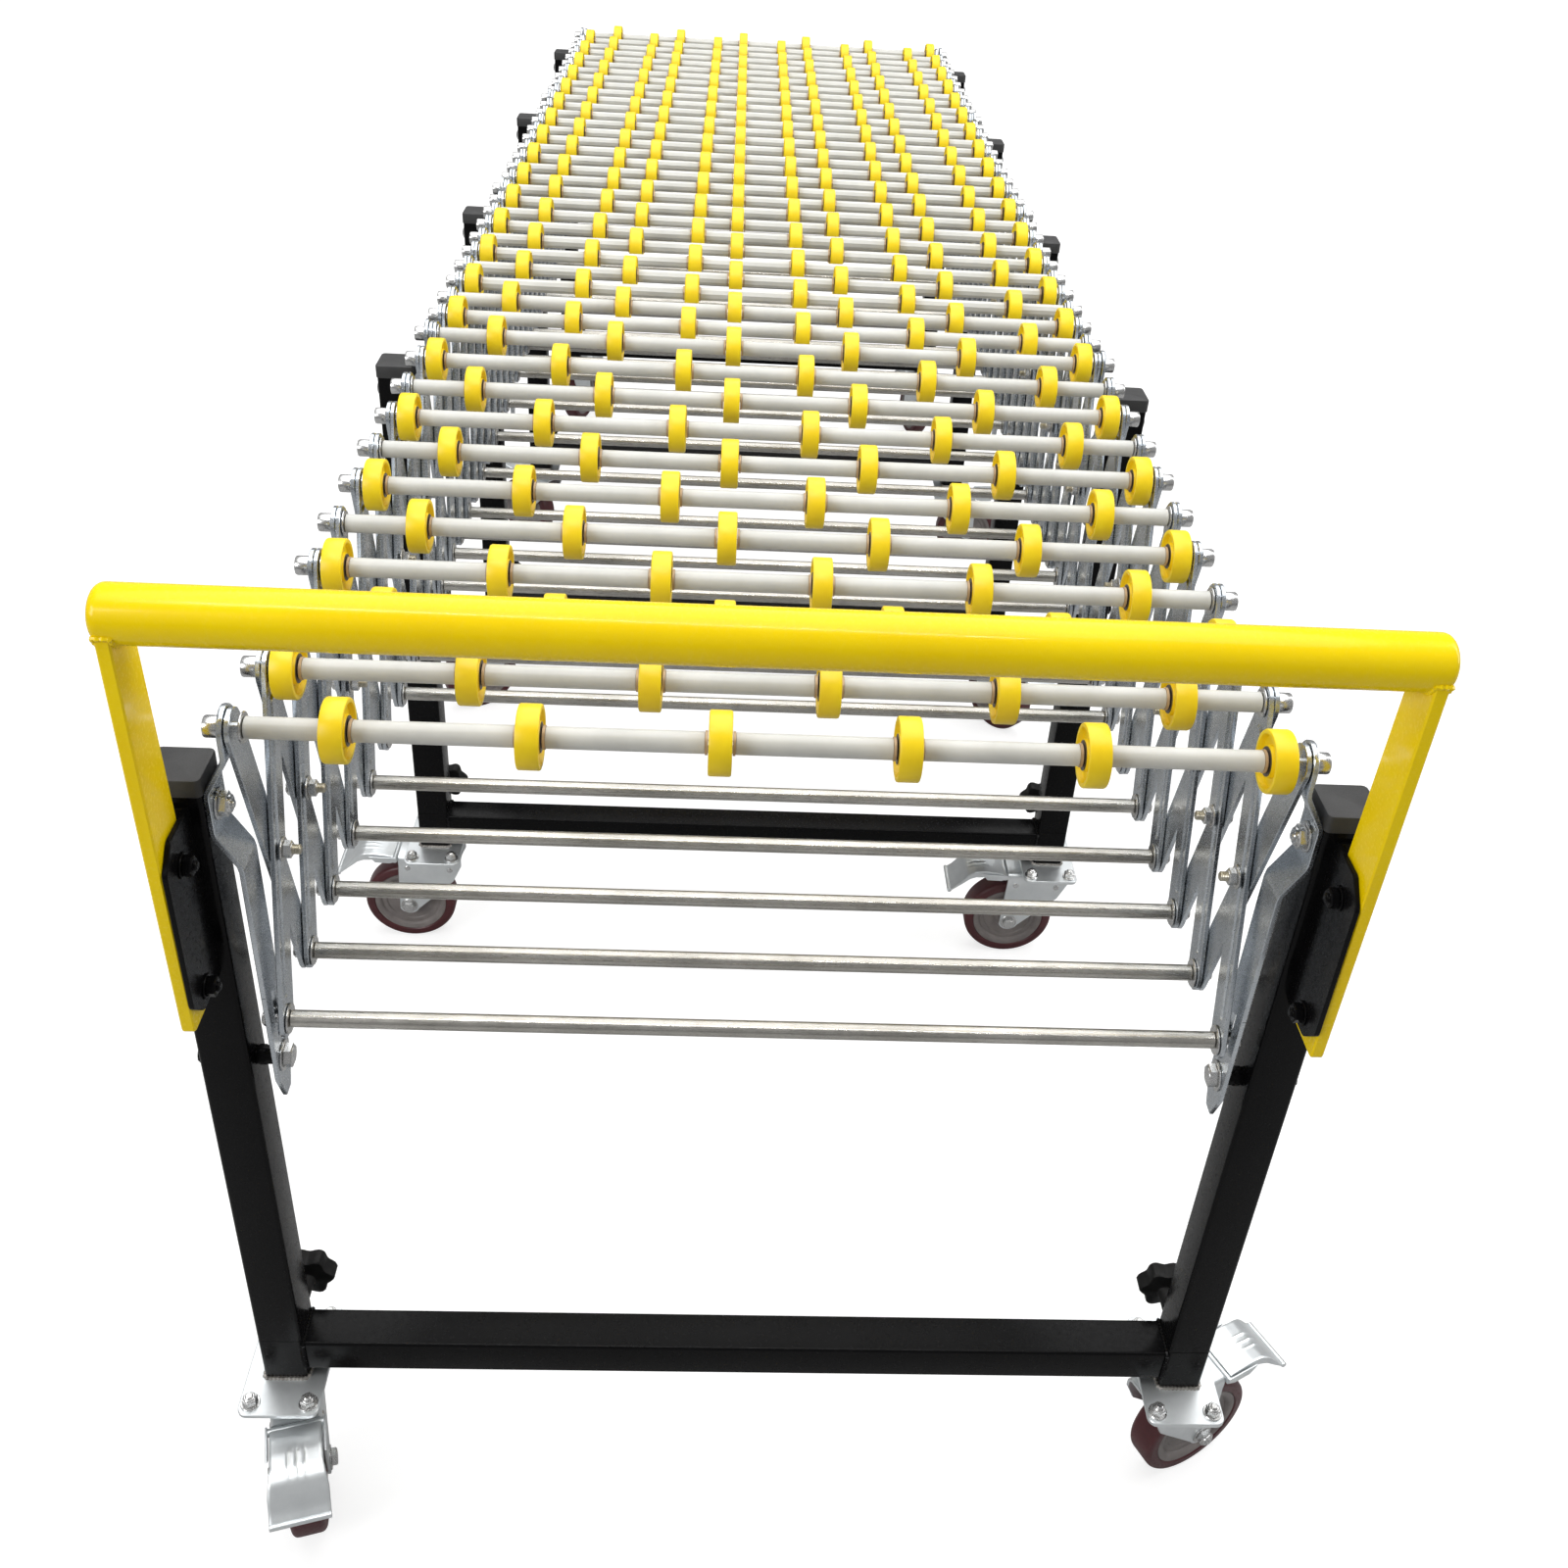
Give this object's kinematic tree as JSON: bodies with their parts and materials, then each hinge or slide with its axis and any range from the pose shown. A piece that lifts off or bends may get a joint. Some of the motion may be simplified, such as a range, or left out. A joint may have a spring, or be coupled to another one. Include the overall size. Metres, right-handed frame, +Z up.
{
  "type": "gravity roller conveyor",
  "caption": "Expandable gravity skate-wheel conveyor on scissor side links, with braked swivel casters under height-adjustable leg frames and a push handle at one end.",
  "frame": {"origin": "on the floor under the middle of the bed, the centre of the overall footprint", "axes": "+Y along the bed, away from the push handle; +X to the right as seen from the handle; +Z up"},
  "size_m": [1.1246, 2.937, 1.041],
  "materials": {
    "zinc_plate": "bright zinc plated, satin",
    "skate_yellow": "moulded, satin",
    "black_paint": "gloss powder coat",
    "yellow_paint": "gloss powder coat",
    "black_plastic": "moulded, matt",
    "caster_tread": "cast polyurethane, satin"
  },
  "bodies": {
    "rear_beds": {"rear_bed_a": "zinc_plate", "rear_bed_b": "zinc_plate"},
    "link_pair_a1": {"link_pair_a1": "zinc_plate"},
    "link_pair_b1": {"link_pair_b1": "zinc_plate"},
    "link_pair_a2": {"link_pair_a2": "zinc_plate"},
    "link_pair_b2": {"link_pair_b2": "zinc_plate"},
    "link_pair_a3": {"link_pair_a3": "zinc_plate"},
    "link_pair_b3": {"link_pair_b3": "zinc_plate"},
    "link_pair_a4": {"link_pair_a4": "zinc_plate"},
    "link_pair_b4": {"link_pair_b4": "zinc_plate"},
    "link_pair_a5": {"link_pair_a5": "zinc_plate"},
    "link_pair_b5": {"link_pair_b5": "zinc_plate"},
    "link_pair_a6": {"link_pair_a6": "zinc_plate"},
    "link_pair_b6": {"link_pair_b6": "zinc_plate"},
    "link_pair_a7": {"link_pair_a7": "zinc_plate"},
    "link_pair_b7": {"link_pair_b7": "zinc_plate"},
    "link_pair_a8": {"link_pair_a8": "zinc_plate"},
    "link_pair_b8": {"link_pair_b8": "zinc_plate"},
    "link_pair_a9": {"link_pair_a9": "zinc_plate"},
    "link_pair_b9": {"link_pair_b9": "zinc_plate"},
    "link_pair_a10": {"link_pair_a10": "zinc_plate"},
    "link_pair_b10": {"link_pair_b10": "zinc_plate"},
    "leg_head": {"leg_head_left": "black_paint", "leg_head_right": "black_paint", "push_handle": "yellow_paint"},
    "leg_frame_1": {"leg_frame_1": "black_paint"},
    "leg_frame_2": {"leg_frame_2": "black_paint"},
    "leg_frame_3": {"leg_frame_3": "black_paint"},
    "leg_frame_4": {"leg_frame_4": "black_paint"},
    "leg_frame_5": {"leg_frame_5": "black_paint"},
    "wheel_row_1": {"wheel_row_1": "skate_yellow"},
    "wheel_row_2": {"wheel_row_2": "skate_yellow"},
    "wheel_row_3": {"wheel_row_3": "skate_yellow"},
    "wheel_row_4": {"wheel_row_4": "skate_yellow"},
    "wheel_row_5": {"wheel_row_5": "skate_yellow"},
    "wheel_row_6": {"wheel_row_6": "skate_yellow"},
    "caster_fork_1_left": {"caster_fork_1_left": "zinc_plate"},
    "caster_wheel_1_left": {"caster_wheel_1_left": "caster_tread"},
    "brake_pedal_1_left": {"brake_pedal_1_left": "zinc_plate"},
    "caster_fork_1_right": {"caster_fork_1_right": "zinc_plate"},
    "caster_wheel_1_right": {"caster_wheel_1_right": "caster_tread"},
    "brake_pedal_1_right": {"brake_pedal_1_right": "zinc_plate"},
    "caster_fork_2_left": {"caster_fork_2_left": "zinc_plate"},
    "caster_wheel_2_left": {"caster_wheel_2_left": "caster_tread"},
    "caster_fork_2_right": {"caster_fork_2_right": "zinc_plate"},
    "caster_wheel_2_right": {"caster_wheel_2_right": "caster_tread"},
    "caster_fork_3_left": {"caster_fork_3_left": "zinc_plate"},
    "caster_wheel_3_left": {"caster_wheel_3_left": "caster_tread"},
    "caster_fork_3_right": {"caster_fork_3_right": "zinc_plate"},
    "caster_wheel_3_right": {"caster_wheel_3_right": "caster_tread"},
    "caster_fork_4_left": {"caster_fork_4_left": "zinc_plate"},
    "caster_wheel_4_left": {"caster_wheel_4_left": "caster_tread"},
    "caster_fork_4_right": {"caster_fork_4_right": "zinc_plate"},
    "caster_wheel_4_right": {"caster_wheel_4_right": "caster_tread"},
    "caster_fork_5_left": {"caster_fork_5_left": "zinc_plate"},
    "caster_wheel_5_left": {"caster_wheel_5_left": "caster_tread"},
    "caster_fork_5_right": {"caster_fork_5_right": "zinc_plate"},
    "caster_wheel_5_right": {"caster_wheel_5_right": "caster_tread"},
    "star_knob_left": {"star_knob_left": "black_plastic"},
    "star_knob_right": {"star_knob_right": "black_plastic"}
  },
  "joints": [
    {"name": "bed_extension", "type": "hinge", "parent": "rear_beds", "child": "link_pair_b10", "pos_m": [0, -0.53, 0.895], "axis": [-1, 0, 0], "range_deg": [-7.03, 9.43]},
    {"name": "cell_10_cross", "type": "hinge", "parent": "link_pair_b10", "child": "link_pair_a10", "pos_m": [0, -0.57, 0.75448], "axis": [-1, 0, 0], "range_deg": [-18.96, 14.16]},
    {"name": "cell_9_top", "type": "hinge", "parent": "link_pair_a10", "child": "link_pair_b9", "pos_m": [0, -0.61, 0.895], "axis": [-1, 0, 0], "range_deg": [-14.16, 18.96]},
    {"name": "cell_9_cross", "type": "hinge", "parent": "link_pair_b9", "child": "link_pair_a9", "pos_m": [0, -0.65, 0.75448], "axis": [-1, 0, 0], "range_deg": [-18.96, 14.16]},
    {"name": "cell_8_top", "type": "hinge", "parent": "link_pair_a9", "child": "link_pair_b8", "pos_m": [0, -0.69, 0.895], "axis": [-1, 0, 0], "range_deg": [-14.16, 18.96]},
    {"name": "cell_8_cross", "type": "hinge", "parent": "link_pair_b8", "child": "link_pair_a8", "pos_m": [0, -0.73, 0.75448], "axis": [-1, 0, 0], "range_deg": [-18.96, 14.16]},
    {"name": "cell_7_top", "type": "hinge", "parent": "link_pair_a8", "child": "link_pair_b7", "pos_m": [0, -0.77, 0.895], "axis": [-1, 0, 0], "range_deg": [-14.16, 18.96]},
    {"name": "cell_7_cross", "type": "hinge", "parent": "link_pair_b7", "child": "link_pair_a7", "pos_m": [0, -0.81, 0.75448], "axis": [-1, 0, 0], "range_deg": [-18.96, 14.16]},
    {"name": "cell_6_top", "type": "hinge", "parent": "link_pair_a7", "child": "link_pair_b6", "pos_m": [0, -0.85, 0.895], "axis": [-1, 0, 0], "range_deg": [-14.16, 18.96]},
    {"name": "cell_6_cross", "type": "hinge", "parent": "link_pair_b6", "child": "link_pair_a6", "pos_m": [0, -0.89, 0.75448], "axis": [-1, 0, 0], "range_deg": [-18.96, 14.16]},
    {"name": "cell_5_top", "type": "hinge", "parent": "link_pair_a6", "child": "link_pair_b5", "pos_m": [0, -0.93, 0.895], "axis": [-1, 0, 0], "range_deg": [-14.16, 18.96]},
    {"name": "cell_5_cross", "type": "hinge", "parent": "link_pair_b5", "child": "link_pair_a5", "pos_m": [0, -0.97, 0.75448], "axis": [-1, 0, 0], "range_deg": [-18.96, 14.16]},
    {"name": "cell_4_top", "type": "hinge", "parent": "link_pair_a5", "child": "link_pair_b4", "pos_m": [0, -1.01, 0.895], "axis": [-1, 0, 0], "range_deg": [-14.16, 18.96]},
    {"name": "cell_4_cross", "type": "hinge", "parent": "link_pair_b4", "child": "link_pair_a4", "pos_m": [0, -1.05, 0.75448], "axis": [-1, 0, 0], "range_deg": [-18.96, 14.16]},
    {"name": "cell_3_top", "type": "hinge", "parent": "link_pair_a4", "child": "link_pair_b3", "pos_m": [0, -1.09, 0.895], "axis": [-1, 0, 0], "range_deg": [-14.16, 18.96]},
    {"name": "cell_3_cross", "type": "hinge", "parent": "link_pair_b3", "child": "link_pair_a3", "pos_m": [0, -1.13, 0.75448], "axis": [-1, 0, 0], "range_deg": [-18.96, 14.16]},
    {"name": "cell_2_top", "type": "hinge", "parent": "link_pair_a3", "child": "link_pair_b2", "pos_m": [0, -1.17, 0.895], "axis": [-1, 0, 0], "range_deg": [-14.16, 18.96]},
    {"name": "cell_2_cross", "type": "hinge", "parent": "link_pair_b2", "child": "link_pair_a2", "pos_m": [0, -1.21, 0.75448], "axis": [-1, 0, 0], "range_deg": [-18.96, 14.16]},
    {"name": "cell_1_top", "type": "hinge", "parent": "link_pair_a2", "child": "link_pair_b1", "pos_m": [0, -1.25, 0.895], "axis": [-1, 0, 0], "range_deg": [-14.16, 18.96]},
    {"name": "cell_1_cross", "type": "hinge", "parent": "link_pair_b1", "child": "link_pair_a1", "pos_m": [0, -1.29, 0.75448], "axis": [-1, 0, 0], "range_deg": [-18.96, 14.16]},
    {"name": "leg_head_pivot", "type": "hinge", "parent": "link_pair_a1", "child": "leg_head", "pos_m": [0, -1.33, 0.895], "axis": [-1, 0, 0], "range_deg": [-7.13, 9.53]},
    {"name": "leg_1_height", "type": "slide", "parent": "leg_head", "child": "leg_frame_1", "axis": [0, 0, -1], "range_m": [0, 0.2]},
    {"name": "leg_2_height", "type": "slide", "parent": "rear_beds", "child": "leg_frame_2", "axis": [0, 0, -1], "range_m": [0, 0.2]},
    {"name": "leg_3_height", "type": "slide", "parent": "rear_beds", "child": "leg_frame_3", "axis": [0, 0, -1], "range_m": [0, 0.2]},
    {"name": "leg_4_height", "type": "slide", "parent": "rear_beds", "child": "leg_frame_4", "axis": [0, 0, -1], "range_m": [0, 0.2]},
    {"name": "leg_5_height", "type": "slide", "parent": "rear_beds", "child": "leg_frame_5", "axis": [0, 0, -1], "range_m": [0, 0.2]},
    {"name": "wheel_row_1_spin", "type": "hinge", "parent": "link_pair_a1", "child": "wheel_row_1", "pos_m": [0, -1.33, 0.895], "axis": [1, 0, 0], "continuous": true},
    {"name": "wheel_row_2_spin", "type": "hinge", "parent": "link_pair_b1", "child": "wheel_row_2", "pos_m": [0, -1.25, 0.895], "axis": [1, 0, 0], "continuous": true},
    {"name": "wheel_row_3_spin", "type": "hinge", "parent": "link_pair_b2", "child": "wheel_row_3", "pos_m": [0, -1.17, 0.895], "axis": [1, 0, 0], "continuous": true},
    {"name": "wheel_row_4_spin", "type": "hinge", "parent": "link_pair_b3", "child": "wheel_row_4", "pos_m": [0, -1.09, 0.895], "axis": [1, 0, 0], "continuous": true},
    {"name": "wheel_row_5_spin", "type": "hinge", "parent": "link_pair_b4", "child": "wheel_row_5", "pos_m": [0, -1.01, 0.895], "axis": [1, 0, 0], "continuous": true},
    {"name": "wheel_row_6_spin", "type": "hinge", "parent": "link_pair_b5", "child": "wheel_row_6", "pos_m": [0, -0.93, 0.895], "axis": [1, 0, 0], "continuous": true},
    {"name": "caster_1_left_swivel", "type": "hinge", "parent": "leg_frame_1", "child": "caster_fork_1_left", "pos_m": [-0.4263, -1.33, 0.15], "axis": [0, 0, 1], "continuous": true},
    {"name": "caster_1_left_roll", "type": "hinge", "parent": "caster_fork_1_left", "child": "caster_wheel_1_left", "pos_m": [-0.41543, -1.37057, 0.0625], "axis": [0.9659, 0.2588, 0], "continuous": true},
    {"name": "brake_1_left", "type": "hinge", "parent": "caster_fork_1_left", "child": "brake_pedal_1_left", "pos_m": [-0.41173, -1.38438, 0.1437], "axis": [0.9659, 0.2588, 0], "range_deg": [0, 25]},
    {"name": "caster_1_right_swivel", "type": "hinge", "parent": "leg_frame_1", "child": "caster_fork_1_right", "pos_m": [0.4263, -1.33, 0.15], "axis": [0, 0, 1], "continuous": true},
    {"name": "caster_1_right_roll", "type": "hinge", "parent": "caster_fork_1_right", "child": "caster_wheel_1_right", "pos_m": [0.46372, -1.31093, 0.0625], "axis": [-0.454, 0.891, 0], "continuous": true},
    {"name": "brake_1_right", "type": "hinge", "parent": "caster_fork_1_right", "child": "brake_pedal_1_right", "pos_m": [0.47646, -1.30444, 0.1437], "axis": [-0.454, 0.891, 0], "range_deg": [0, 25]},
    {"name": "caster_2_left_swivel", "type": "hinge", "parent": "leg_frame_2", "child": "caster_fork_2_left", "pos_m": [-0.4263, -0.53, 0.15], "axis": [0, 0, 1], "continuous": true},
    {"name": "caster_2_left_roll", "type": "hinge", "parent": "caster_fork_2_left", "child": "caster_wheel_2_left", "pos_m": [-0.4683, -0.53, 0.0625], "axis": [0, -1, 0], "continuous": true},
    {"name": "caster_2_right_swivel", "type": "hinge", "parent": "leg_frame_2", "child": "caster_fork_2_right", "pos_m": [0.4263, -0.53, 0.15], "axis": [0, 0, 1], "continuous": true},
    {"name": "caster_2_right_roll", "type": "hinge", "parent": "caster_fork_2_right", "child": "caster_wheel_2_right", "pos_m": [0.3843, -0.53, 0.0625], "axis": [0, -1, 0], "continuous": true},
    {"name": "caster_3_left_swivel", "type": "hinge", "parent": "leg_frame_3", "child": "caster_fork_3_left", "pos_m": [-0.4263, 0.09, 0.15], "axis": [0, 0, 1], "continuous": true},
    {"name": "caster_3_left_roll", "type": "hinge", "parent": "caster_fork_3_left", "child": "caster_wheel_3_left", "pos_m": [-0.46267, 0.069, 0.0625], "axis": [0.5, -0.866, 0], "continuous": true},
    {"name": "caster_3_right_swivel", "type": "hinge", "parent": "leg_frame_3", "child": "caster_fork_3_right", "pos_m": [0.4263, 0.09, 0.15], "axis": [0, 0, 1], "continuous": true},
    {"name": "caster_3_right_roll", "type": "hinge", "parent": "caster_fork_3_right", "child": "caster_wheel_3_right", "pos_m": [0.4533, 0.05783, 0.0625], "axis": [0.766, 0.6428, 0], "continuous": true},
    {"name": "caster_4_left_swivel", "type": "hinge", "parent": "leg_frame_4", "child": "caster_fork_4_left", "pos_m": [-0.4263, 0.71, 0.15], "axis": [0, 0, 1], "continuous": true},
    {"name": "caster_4_left_roll", "type": "hinge", "parent": "caster_fork_4_left", "child": "caster_wheel_4_left", "pos_m": [-0.4607, 0.73409, 0.0625], "axis": [-0.5736, -0.8192, 0], "continuous": true},
    {"name": "caster_4_right_swivel", "type": "hinge", "parent": "leg_frame_4", "child": "caster_fork_4_right", "pos_m": [0.4263, 0.71, 0.15], "axis": [0, 0, 1], "continuous": true},
    {"name": "caster_4_right_roll", "type": "hinge", "parent": "caster_fork_4_right", "child": "caster_wheel_4_right", "pos_m": [0.4683, 0.71, 0.0625], "axis": [0, 1, 0], "continuous": true},
    {"name": "caster_5_left_swivel", "type": "hinge", "parent": "leg_frame_5", "child": "caster_fork_5_left", "pos_m": [-0.4263, 1.33, 0.15], "axis": [0, 0, 1], "continuous": true},
    {"name": "caster_5_left_roll", "type": "hinge", "parent": "caster_fork_5_left", "child": "caster_wheel_5_left", "pos_m": [-0.41193, 1.36947, 0.0625], "axis": [-0.9397, 0.342, 0], "continuous": true},
    {"name": "caster_5_right_swivel", "type": "hinge", "parent": "leg_frame_5", "child": "caster_fork_5_right", "pos_m": [0.4263, 1.33, 0.15], "axis": [0, 0, 1], "continuous": true},
    {"name": "caster_5_right_roll", "type": "hinge", "parent": "caster_fork_5_right", "child": "caster_wheel_5_right", "pos_m": [0.41543, 1.37057, 0.0625], "axis": [-0.9659, -0.2588, 0], "continuous": true},
    {"name": "knob_left_turn", "type": "hinge", "parent": "leg_head", "child": "star_knob_left", "pos_m": [-0.4143, -1.3097, 0.231], "axis": [0, 1, 0], "range_deg": [0, 270]},
    {"name": "knob_right_turn", "type": "hinge", "parent": "leg_head", "child": "star_knob_right", "pos_m": [0.4143, -1.3097, 0.231], "axis": [0, 1, 0], "range_deg": [0, 270]}
  ],
  "couplings": [
    {"joint": "cell_10_cross", "follows": "bed_extension", "ratio": -2},
    {"joint": "cell_9_top", "follows": "bed_extension", "ratio": 2},
    {"joint": "cell_9_cross", "follows": "bed_extension", "ratio": -2},
    {"joint": "cell_8_top", "follows": "bed_extension", "ratio": 2},
    {"joint": "cell_8_cross", "follows": "bed_extension", "ratio": -2},
    {"joint": "cell_7_top", "follows": "bed_extension", "ratio": 2},
    {"joint": "cell_7_cross", "follows": "bed_extension", "ratio": -2},
    {"joint": "cell_6_top", "follows": "bed_extension", "ratio": 2},
    {"joint": "cell_6_cross", "follows": "bed_extension", "ratio": -2},
    {"joint": "cell_5_top", "follows": "bed_extension", "ratio": 2},
    {"joint": "cell_5_cross", "follows": "bed_extension", "ratio": -2},
    {"joint": "cell_4_top", "follows": "bed_extension", "ratio": 2},
    {"joint": "cell_4_cross", "follows": "bed_extension", "ratio": -2},
    {"joint": "cell_3_top", "follows": "bed_extension", "ratio": 2},
    {"joint": "cell_3_cross", "follows": "bed_extension", "ratio": -2},
    {"joint": "cell_2_top", "follows": "bed_extension", "ratio": 2},
    {"joint": "cell_2_cross", "follows": "bed_extension", "ratio": -2},
    {"joint": "cell_1_top", "follows": "bed_extension", "ratio": 2},
    {"joint": "cell_1_cross", "follows": "bed_extension", "ratio": -2},
    {"joint": "leg_head_pivot", "follows": "bed_extension", "ratio": 1}
  ]
}
